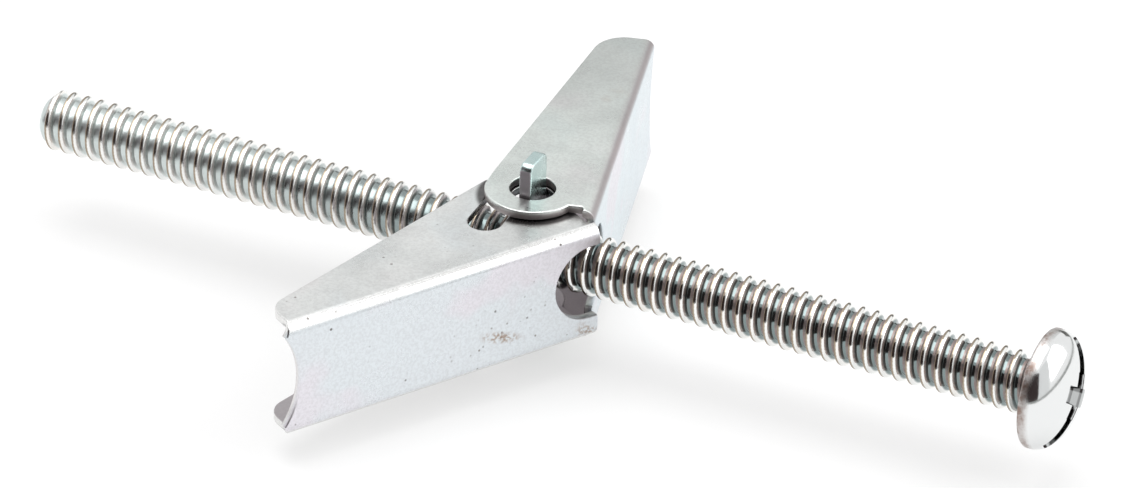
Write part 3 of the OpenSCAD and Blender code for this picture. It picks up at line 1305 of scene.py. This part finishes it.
@dataclass
class FoldedWing:
    """A wing folded from a flat blank; sizes in millimetres, in the wing's own frame.

    The blank lies with its middle line on Y and its flanges to either side. Folding takes it to
    X square to the web and Y from the hinge to the tip.
    """

    name: str
    node: str
    side: int
    lean: float
    half: float
    reach: float
    length: float
    tip_depth: float
    back: float
    lobe_r: float
    heel: float
    hole_r: float
    window: bool
    look: ZincFinish
    tip_corner: float
    sheet: float = 0.6
    bend_inner_r: float = 0.3
    heel_step: float = 0.45
    tip_hollow: float = 1.15
    tip_step: float = 0.5
    notch_r: float = 2.8
    notch_setback: float = 1.05
    drop: float = 0.22
    edge_out: float = 0.12
    edge_in: float = 0.06
    bend_steps: int = 8

    @property
    def bend_r(self) -> float:
        """Outer radius of the bend."""
        return self.bend_inner_r + self.sheet

    @property
    def web_end(self) -> float:
        """Distance across the blank to the start of the bend."""
        return self.half - self.bend_r

    @property
    def neutral_r(self) -> float:
        """Radius at which the sheet keeps its length in the bend."""
        return self.bend_inner_r + self.sheet / 2

    @property
    def bend_end(self) -> float:
        """Distance across the blank to the end of the bend."""
        return self.web_end + self.neutral_r * pi / 2

    def across(self, x: float) -> float:
        """Distance across the blank of a point of the flange.

        Args:
            x: The point's distance from the hinge, square to the web.

        Returns:
            Its distance across the blank.
        """
        return self.bend_end + self.reach - self.bend_r - x

    def build(self, place: HingePlace) -> bpy.types.Object:
        """Makes the wing.

        Args:
            place: Where the hinge lies.

        Returns:
            The finished object.
        """
        piece = Piece(self.name)
        self._blank(piece)
        piece.thicken(self.sheet)
        piece.soften(piece.rims(0.0), self.edge_out)
        piece.soften(piece.rims(-self.sheet), self.edge_in)
        self._fold(piece.bm)
        turn = Matrix.Rotation(radians(self.lean), 4, "Z")
        flip = Matrix.Scale(self.side, 4, (0.0, 1.0, 0.0))
        down = Matrix.Translation((0.0, 0.0, -self.drop))
        bmesh.ops.transform(piece.bm, matrix=down @ flip @ turn, verts=piece.bm.verts)
        bmesh.ops.recalc_face_normals(piece.bm, faces=piece.bm.faces)
        return piece.finish(place, self.look, self.node, self.node, 38.0)

    def _blank(self, piece: Piece) -> None:
        """Draws half of the blank with its holes, fills it and mirrors it.

        Args:
            piece: The piece to draw in.
        """
        bm = piece.bm
        foot = self.heel_step - self.heel
        meet = sqrt(self.lobe_r**2 - foot**2)
        slope = (self.reach - self.tip_depth + self.back) / (self.length - self.tip_step)
        chord = self.web_end
        hollow_r = (chord**2 + self.tip_hollow**2) / (2 * self.tip_hollow)
        hollow_y = self.length - self.tip_hollow + hollow_r
        hollow_turn = degrees(acos((hollow_r - self.tip_hollow) / hollow_r))
        lobe_turn = 180 - degrees(atan2(-foot, meet))
        edges = (
            Outline(bm, (0.0, self.notch_r - self.notch_setback))
            .arc((0.0, -self.notch_setback), -90.0, 20)
            .line_to(self.notch_r, -self.heel, 0.2)
            .line_to(self.bend_end, -self.heel)
            .line_to(self.bend_end, foot, 0.2)
            .line_to(self.across(meet), foot)
            .arc((self.across(0.0), 0.0), lobe_turn, 32)
            .line_to(self.across(slope * self.lobe_r / 2 - self.back), self.lobe_r / 2, 0.6)
            .line_to(
                self.across(self.reach - self.tip_depth),
                self.length - self.tip_step,
                self.tip_corner,
            )
            .line_to(self.bend_end, self.length - self.tip_step)
            .line_to(self.web_end, self.length)
            .arc((0.0, hollow_y), -hollow_turn, 12)
            .close()
        )
        hole = bmesh.ops.create_circle(
            bm, segments=64, radius=self.hole_r, matrix=Matrix.Translation((self.across(0), 0, 0))
        )
        edges += edges_at(hole["verts"])
        if self.window:
            edges += self._window(bm)
        piece.fill(edges)
        joined = [e for e in bm.edges if not e.is_boundary]
        bmesh.ops.dissolve_limit(bm, angle_limit=0.001, verts=bm.verts, edges=joined)
        bmesh.ops.mirror(bm, geom=everything(bm), axis="X", merge_dist=1e-4)
        wide, deep = self.notch_r + 0.3, self.notch_r - self.notch_setback + 0.01
        notch = [v for v in bm.verts if abs(v.co.x) < wide and v.co.y < deep]
        bmesh.ops.translate(bm, verts=notch, vec=(self.drop, 0.0, 0.0))
        bmesh.ops.recalc_face_normals(bm, faces=bm.faces)
        if bm.faces[0].normal.z < 0:
            bmesh.ops.reverse_faces(bm, faces=bm.faces)

    def _window(self, bm: bmesh.types.BMesh) -> list[bmesh.types.BMEdge]:
        """Draws the oblong window that curves round the hinge hole.

        Args:
            bm: The mesh to draw in.

        Returns:
            The window's edges.
        """
        width, turn, offset, reach, wall = 2.4, 33.0, 1.6, 5.6, 0.7
        ring = self.hole_r + wall
        near, far = width / 2 - offset, -width / 2 - offset
        rise = sqrt(ring**2 - near**2)
        lift = degrees(atan2(rise, near))
        window = (
            Outline(bm, (far, 0.0))
            .line_to(-ring, 0.0)
            .arc((0.0, 0.0), lift - 180, 16)
            .line_to(near, reach - width / 2)
            .arc((-offset, reach - width / 2), 180.0, 16)
        )
        edges = window.close()
        verts = list({v for e in edges for v in e.verts})
        about = Matrix.Rotation(radians(-turn), 3, "Z")
        bmesh.ops.rotate(bm, verts=verts, cent=ORIGIN, matrix=about)
        for vert in verts:
            vert.co.x = self.across(vert.co.x)
        return edges

    def _fold(self, bm: bmesh.types.BMesh) -> None:
        """Folds the flanges of the blank.

        Args:
            bm: The mesh of the blank; its outer face lies at Z 0 and its inner one below.
        """
        span = self.bend_end - self.web_end
        for k in range(self.bend_steps + 1):
            for way in (-1.0, 1.0):
                bmesh.ops.bisect_plane(
                    bm,
                    geom=everything(bm),
                    dist=1e-5,
                    plane_co=(way * (self.web_end + span * k / self.bend_steps), 0.0, 0.0),
                    plane_no=(1.0, 0.0, 0.0),
                )
        centre = self.reach - self.bend_r
        for vert in bm.verts:
            s, along, depth = vert.co
            way = 1.0 if s > 0 else -1.0
            s = abs(s)
            if s <= self.web_end:
                x, z = self.reach + depth, s
            elif s < self.bend_end:
                turn = (s - self.web_end) / self.neutral_r
                x = centre + (self.bend_r + depth) * cos(turn)
                z = self.web_end + (self.bend_r + depth) * sin(turn)
            else:
                x, z = centre - (s - self.bend_end), self.half + depth
            vert.co = (x, along, way * z)


# ---- Nut ----


@dataclass
class TrunnionNut:
    """Stamped nut with two ears and a collar; sizes in millimetres."""

    plate: float = 0.9
    ear_width: float = 2.6
    ear_tip: float = 7.23
    half_width: float = 3.0
    top: float = 3.5
    bore_r: float = 2.21
    collar_r: float = 2.71
    collar: float = 1.0
    ear_corner: float = 0.6
    edge: float = 0.14

    def build(self, place: HingePlace) -> bpy.types.Object:
        """Makes the nut.

        Args:
            place: Where the hinge lies.

        Returns:
            The finished object.
        """
        piece = Piece("stamped_nut")
        self._plate(piece)
        self._collar(piece.bm)
        return piece.finish(place, NUT_FINISH, "nut", "trunnion_nut", 40.0)

    def _plate(self, piece: Piece) -> None:
        """Draws the plate with its ears, X across the screw and Y up, and stands it up.

        Args:
            piece: The piece to draw in.
        """
        bm = piece.bm
        ear, tip, wide = self.ear_width / 2, self.ear_tip, self.half_width
        corner = self.ear_corner
        edges = (
            Outline(bm, (ear, tip - 1.5))
            .line_to(ear, tip, corner)
            .line_to(-ear, tip, corner)
            .line_to(-ear, self.top, 0.25)
            .line_to(-wide, self.top, 0.5)
            .line_to(-wide, -self.collar_r, 0.5)
            .line_to(-ear, -self.collar_r, 0.25)
            .line_to(-ear, -tip, corner)
            .line_to(ear, -tip, corner)
            .line_to(ear, -self.collar_r, 0.25)
            .line_to(wide, -self.collar_r, 0.5)
            .line_to(wide, self.top, 0.5)
            .line_to(ear, self.top, 0.25)
            .close()
        )
        bore = bmesh.ops.create_circle(bm, segments=64, radius=self.bore_r)
        piece.fill(edges + edges_at(bore["verts"]))
        piece.thicken(self.plate)
        bmesh.ops.translate(bm, verts=bm.verts, vec=(0.0, 0.0, self.plate / 2))
        rims = [
            e
            for e in bm.edges
            if abs(e.verts[0].co.z - e.verts[1].co.z) < 1e-5 and e.calc_face_angle() > 1.0
        ]
        piece.soften(rims, self.edge)
        stand = Matrix(((0, 0, 1), (1, 0, 0), (0, 1, 0)))
        bmesh.ops.rotate(bm, verts=bm.verts, cent=ORIGIN, matrix=stand)

    def _collar(self, bm: bmesh.types.BMesh) -> None:
        """Turns the collar behind the plate.

        Args:
            bm: The mesh to draw in.
        """
        back, end, soft = -self.plate / 2 + 0.2, -self.plate / 2 - self.collar, 0.1
        section = [
            (back, self.bore_r),
            (end + soft, self.bore_r),
            (end, self.bore_r + soft),
            (end, self.collar_r - soft),
            (end + soft, self.collar_r),
            (back, self.collar_r),
        ]
        spin(bm, line(bm, section, closed=True), 64, merge=True)
        bmesh.ops.recalc_face_normals(bm, faces=bm.faces)


# ---- Spring ----


@dataclass
class TorsionSpring:
    """One open turn of wire round the lower ear with a leg to each web; in millimetres.

    It is made in two halves that meet in the middle of the coil, each with one leg.
    """

    wire_r: float = 0.16
    coil_r: float = 1.596
    upper: float = -3.03
    drop: float = 0.35
    bears_at: float = 8.0
    inset: float = 0.82
    bend_at: tuple[float, float] = (1.8, 4.2)
    wire_sides: int = 12
    coil_steps: int = 24
    leg_steps: int = 40
    wings: dict[int, tuple[float, float]] = field(
        default_factory=lambda: {-1: (31.0, 5.8), 1: (15.5, 4.75)}
    )

    def build(self, place: HingePlace) -> None:
        """Makes the spring in two halves, each with the leg that runs to its wing.

        Args:
            place: Where the hinge lies.
        """
        first, last = self._leg_end(-1), self._leg_end(1)
        start, stop = self._meeting(first, -1), self._meeting(last, 1)
        half = pi - (stop - start) / 2
        self._half(place, "wire_spring", "inner_wing", first, start, -half)
        self._half(place, "wire_spring_far", "outer_wing", last, start - 2 * half, half)

    def _half(
        self, place: HingePlace, name: str, wing: str, end: Point, start: float, sweep: float
    ) -> None:
        """Makes one leg with half of the coil.

        Args:
            place: Where the hinge lies.
            name: The piece's name.
            wing: The body of the leg's wing; it is passed on in bend but not used.
            end: The leg's far end, seen along the hinge.
            start: Angle on the coil at which the leg leaves it.
            sweep: Turn from there to the coil's middle; above 0 it climbs.
        """
        piece = Piece(name)
        bm = piece.bm
        level = self.upper if sweep < 0 else self.upper - self.drop
        stand = Matrix.Translation((self.coil_r, 0, level)) @ Matrix.Rotation(pi / 2, 4, "X")
        ring = bmesh.ops.create_circle(
            bm, segments=self.wire_sides, radius=self.wire_r, matrix=stand
        )["verts"]
        about = Matrix.Rotation(start, 3, "Z")
        bmesh.ops.rotate(bm, verts=ring, cent=ORIGIN, matrix=about)
        head = edges_at(ring)
        side = copysign(1, sweep)
        tail = spin(
            bm,
            list(ring) + head,
            self.coil_steps,
            angle=abs(sweep),
            axis=(0, 0, side),
            climb=self.drop / (2 * self.coil_steps),
        )
        bmesh.ops.edgeloop_fill(bm, edges=edges_of(tail))
        foot = Vector((self.coil_r * cos(start), self.coil_r * sin(start), 0.0))
        way = Vector((*end, 0.0)) - foot
        self._leg(bm, head, way)
        bmesh.ops.recalc_face_normals(bm, faces=bm.faces)
        bend = (wing, *(place.matrix() @ (way.normalized() * reach) for reach in self.bend_at))
        piece.finish(place, SPRING_FINISH, "nut", "torsion_spring", 50.0, bend)

    def _leg_end(self, side: int) -> Point:
        """Where a leg bears on its web.

        Args:
            side: 1 for the wing towards +Y and -1 for the other.

        Returns:
            The point, seen along the hinge.
        """
        lean, reach = self.wings[side]
        out, turn = reach - self.inset, radians(lean)
        return (
            out * cos(turn) - self.bears_at * sin(turn),
            side * (out * sin(turn) + self.bears_at * cos(turn)),
        )

    def _meeting(self, end: Point, side: int) -> float:
        """Angle at which a straight leg leaves the coil.

        Args:
            end: The leg's far end.
            side: 1 for the wing towards +Y and -1 for the other.

        Returns:
            The angle in radians.
        """
        return atan2(end[1], end[0]) + side * acos(self.coil_r / hypot(*end))

    def _leg(self, bm: bmesh.types.BMesh, edges: list[bmesh.types.BMEdge], way: Vector) -> None:
        """Draws a leg out of the end of the coil and closes it.

        Args:
            bm: The mesh to draw in.
            edges: The open edges at the end of the coil.
            way: From the coil to the leg's end.
        """
        for _ in range(self.leg_steps):
            made = bmesh.ops.extrude_edge_only(bm, edges=edges)["geom"]
            bmesh.ops.translate(bm, verts=verts_of(made), vec=way / self.leg_steps)
            edges = [e for e in edges_of(made) if e.is_boundary]
        bmesh.ops.edgeloop_fill(bm, edges=edges)


# ---- Studio ----


def towards(azimuth: float, elevation: float) -> Vector:
    """The way to a point of the sky.

    Args:
        azimuth: Degrees round the object; 0 is towards -Y and 90 towards +X.
        elevation: Degrees above the floor.

    Returns:
        The way, of length 1.
    """
    a, e = radians(azimuth), radians(elevation)
    return Vector((sin(a) * cos(e), -cos(a) * cos(e), sin(e)))


def aim(thing: bpy.types.Object, point: Vector, way: Vector) -> None:
    """Sets a card or a lamp away from a point and turns its -Z side to it.

    Args:
        thing: The card or lamp.
        point: The point.
        way: From the point to the thing.
    """
    thing.location = point + way
    thing.rotation_mode = "QUATERNION"
    thing.rotation_quaternion = way.to_track_quat("Z", "Y")


@dataclass(frozen=True)
class Card:
    """A flat card that only reflections see.

    Attributes:
        name: The card's name.
        azimuth: Where it stands, in degrees.
        elevation: How high it stands, in degrees.
        size: Its width and height, in degrees.
        distance: How far it stands from the hinge, in metres.
        light: How bright it looks.
    """

    name: str
    azimuth: float
    elevation: float
    size: tuple[float, float]
    distance: float
    light: Colour


@dataclass(frozen=True)
class Softbox:
    """A large square lamp.

    Attributes:
        name: The lamp's name.
        way: From the hinge to the lamp, in metres.
        size: Its side, in metres.
        light: How bright its face looks.
    """

    name: str
    way: Triple
    size: float
    light: float


@dataclass
class Studio:
    """Pale floor, soft lamps, dark cards and camera."""

    place: HingePlace
    camera_azimuth: float = 24.73
    camera_elevation: float = 31.55
    camera_roll: float = 1.67
    camera_distance: float = 793.0
    camera_slip: tuple[float, float] = (2.156, 0.29)
    lens: float = 370.1
    room_light: float = 0.7
    floor_grey: float = 0.45
    floor_lift: float = 0.52
    rim_radius: float = 0.2
    rim_height: float = 0.012
    rim_light: Colour = (0.4, 0.41, 0.4)
    cards: tuple[Card, ...] = (
        Card("viewing side", 13.5, 24.0, (81.0, 60.0), 0.6, (0.045, 0.034, 0.034)),
        Card("left front", -46.0, 20.0, (26.0, 60.0), 0.7, (0.2, 0.17, 0.18)),
        Card("right front", 70.0, 24.0, (34.0, 70.0), 0.6, (0.82, 0.83, 0.83)),
        Card("high back", 205.0, 31.0, (60.0, 36.0), 0.2, (0.8, 0.81, 0.81)),
        Card("low back", 190.0, 3.5, (56.0, 17.0), 0.19, (0.15, 0.15, 0.14)),
    )
    softboxes: tuple[Softbox, ...] = (
        Softbox("top lamp", (-0.12, 0.0, 0.85), 0.75, 2.2),
        Softbox("right lamp", (0.68, 0.3, 0.52), 0.8, 1.7),
    )

    def build(self) -> None:
        """Makes the whole studio."""
        self._world()
        self._floor()
        self._rim()
        for card in self.cards:
            self._card(card)
        for softbox in self.softboxes:
            self._lamp(softbox)
        self._camera()
        bpy.context.scene.view_settings.view_transform = "Standard"

    @staticmethod
    def _seen(sheet: ShaderSheet) -> Value:
        """1 for what the eye sees straight or in a reflection, and 0 for soft light.

        Args:
            sheet: The sheet to draw on.

        Returns:
            The share.
        """
        outputs = ("Is Camera Ray", "Is Glossy Ray", "Is Transmission Ray")
        rays = [sheet.add("ShaderNodeLightPath", {}, {}, output=name) for name in outputs]
        return (rays[0] + rays[1] + rays[2]).step(0.0, 1.0)

    def _world(self) -> None:
        """White all round, and a little dimmer as a light on the floor."""
        world = bpy.data.worlds.new("white studio")
        bpy.context.scene.world = world
        world.use_nodes = True
        sheet = ShaderSheet(world.node_tree)
        strength = self.room_light + self._seen(sheet) * (1.0 - self.room_light)
        given = {"Color": (*WHITE, 1.0), "Strength": strength}
        background = sheet.add("ShaderNodeBackground", {}, given)
        sheet.add("ShaderNodeOutputWorld", {}, {"Surface": background})

    def _floor(self) -> None:
        """A wide pale floor at the foot of the object."""
        bm = bmesh.new()
        bmesh.ops.create_grid(bm, x_segments=1, y_segments=1, size=6.0)
        floor = mesh_object("floor", bm)
        material, sheet = new_material("pale floor")
        paper = sheet.add("ShaderNodeBsdfDiffuse", {}, {"Color": (*[self.floor_grey] * 3, 1.0)})
        glow = sheet.glow(WHITE, self._seen(sheet) * self.floor_lift)
        both = sheet.add("ShaderNodeAddShader", {}, {0: paper, 1: glow})
        sheet.add("ShaderNodeOutputMaterial", {}, {"Surface": both})
        floor.data.materials.append(material)

    def _reflected(self, board: bpy.types.Object, light: Colour) -> None:
        """Makes an object a card that only reflections see.

        Args:
            board: The object.
            light: How bright it looks.
        """
        material, sheet = new_material(board.name)
        sheet.add("ShaderNodeOutputMaterial", {}, {"Surface": sheet.glow(light)})
        board.data.materials.append(material)
        board.visible_camera = False
        board.visible_diffuse = False
        board.visible_shadow = False

    def _rim(self) -> None:
        """A dark rim round the floor, as of a table in a dim room."""
        bm = bmesh.new()
        bmesh.ops.create_cone(
            bm,
            cap_ends=False,
            segments=64,
            radius1=self.rim_radius,
            radius2=self.rim_radius,
            depth=self.rim_height,
        )
        rim = mesh_object("dim rim", bm)
        rim.location = (0.0, 0.0, self.rim_height / 2)
        self._reflected(rim, self.rim_light)

    def _card(self, card: Card) -> None:
        """Stands a card up, facing the object.

        Args:
            card: The card to make.
        """
        bm = bmesh.new()
        bmesh.ops.create_grid(bm, x_segments=1, y_segments=1, size=0.5)
        wide, high = (2 * card.distance * tan(radians(a) / 2) for a in card.size)
        bmesh.ops.scale(bm, verts=bm.verts, vec=(wide, high, 1.0))
        board = mesh_object(card.name, bm)
        aim(board, self.place.point, towards(card.azimuth, card.elevation) * card.distance)
        self._reflected(board, card.light)

    def _lamp(self, softbox: Softbox) -> None:
        """Hangs a lamp, facing the object.

        Args:
            softbox: The lamp to make.
        """
        data = bpy.data.lights.new(softbox.name, "AREA")
        data.size = softbox.size
        data.energy = softbox.light * pi * softbox.size**2
        lamp = bpy.data.objects.new(softbox.name, data)
        aim(lamp, self.place.point, Vector(softbox.way))
        lamp.visible_camera = False
        bpy.context.scene.collection.objects.link(lamp)

    def _camera(self) -> None:
        """Sets the camera at its viewing angle."""
        turn = radians(self.camera_azimuth)
        back = towards(self.camera_azimuth, self.camera_elevation)
        right = Vector((cos(turn), sin(turn), 0.0))
        up = back.cross(right)
        roll = radians(self.camera_roll)
        across = right * cos(roll) + up * sin(roll)
        above = up * cos(roll) - right * sin(roll)
        slip = across * self.camera_slip[0] + above * self.camera_slip[1]
        offset = back * self.camera_distance + slip
        data = bpy.data.cameras.new("camera")
        data.lens = self.lens
        data.sensor_width = 36.0
        data.clip_start, data.clip_end = 0.01, 20.0
        camera = bpy.data.objects.new("camera", data)
        axes = Matrix((across, above, back)).transposed().to_4x4()
        camera.matrix_world = Matrix.Translation(self.place.point + offset * MM) @ axes
        bpy.context.scene.collection.objects.link(camera)
        bpy.context.scene.camera = camera


def main() -> None:
    """Builds the toggle bolt and its studio."""
    logging.basicConfig(level=logging.INFO, format="%(name)s %(message)s", force=True)
    nut = TrunnionNut()
    place = HingePlace.of_nut(nut.plate)
    MachineScrew().build(place)
    nut.build(place)
    TorsionSpring().build(place)
    FoldedWing(
        name="near_wing",
        node="inner_wing",
        side=-1,
        lean=31.0,
        half=4.42,
        reach=5.8,
        length=23.5,
        tip_depth=3.1,
        back=3.95,
        lobe_r=2.4,
        heel=1.8,
        hole_r=1.446,
        window=True,
        look=NEAR_WING_FINISH,
        tip_corner=1.25,
    ).build(place)
    FoldedWing(
        name="far_wing",
        node="outer_wing",
        side=1,
        lean=15.5,
        half=5.1,
        reach=4.75,
        length=21.9,
        tip_depth=3.5,
        back=3.4,
        lobe_r=3.3,
        heel=2.206,
        hole_r=1.586,
        window=False,
        look=FAR_WING_FINISH,
        tip_corner=1.8,
    ).build(place)
    Studio(place).build()


if __name__ == "__main__":
    main()
